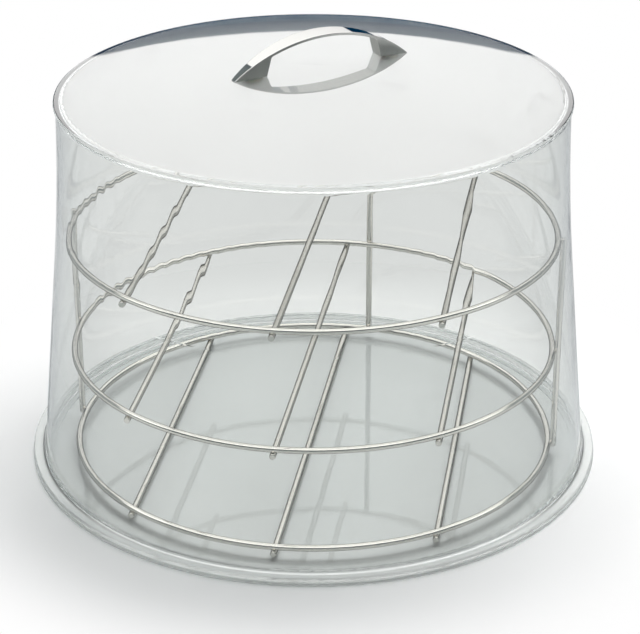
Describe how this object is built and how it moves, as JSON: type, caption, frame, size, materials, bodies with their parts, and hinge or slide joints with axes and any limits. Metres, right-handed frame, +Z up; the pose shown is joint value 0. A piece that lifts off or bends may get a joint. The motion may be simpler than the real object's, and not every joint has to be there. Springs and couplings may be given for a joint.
{
  "type": "domed cake stand with wire rack",
  "caption": "Clear drum-shaped cake cover with a chromed arch handle, standing on a clear round tray over a tiered rack of welded wire.",
  "frame": {"origin": "middle of the tray's underside, at table level", "axes": "+Z up; +Y along the cross wires towards the rear upright; +X across the cross wires to the right"},
  "size_m": [0.3048, 0.3048, 0.2311],
  "materials": {
    "clear_acrylic": "clear moulded acrylic, high gloss",
    "chromed_wire": "bright chrome plate on drawn steel wire",
    "chromed_handle": "polished chrome plate on a zinc casting",
    "steel_screw": "zinc plated steel",
    "nylon_washer": "natural nylon"
  },
  "bodies": {
    "base": {"tray": "clear_acrylic"},
    "rack": {"hoop_bottom": "chromed_wire", "cross_wire_bottom_left": "chromed_wire", "cross_wire_bottom_centre": "chromed_wire", "cross_wire_bottom_right": "chromed_wire", "hoop_middle": "chromed_wire", "cross_wire_middle_left": "chromed_wire", "cross_wire_middle_centre": "chromed_wire", "cross_wire_middle_right": "chromed_wire", "hoop_top": "chromed_wire", "cross_wire_top_left": "chromed_wire", "cross_wire_top_centre": "chromed_wire", "cross_wire_top_right": "chromed_wire", "upright_left": "chromed_wire", "upright_right": "chromed_wire", "upright_rear": "chromed_wire"},
    "cover": {"cover_shell": "clear_acrylic", "handle": "chromed_handle", "handle_screws": "steel_screw", "handle_washers": "nylon_washer"}
  },
  "joints": [
    {"name": "rack_lift", "type": "slide", "parent": "base", "child": "rack", "axis": [0, 0, 1], "range_m": [0, 0.12]},
    {"name": "cover_lift", "type": "slide", "parent": "rack", "child": "cover", "axis": [0, 0, 1], "range_m": [0, 0.18]}
  ]
}
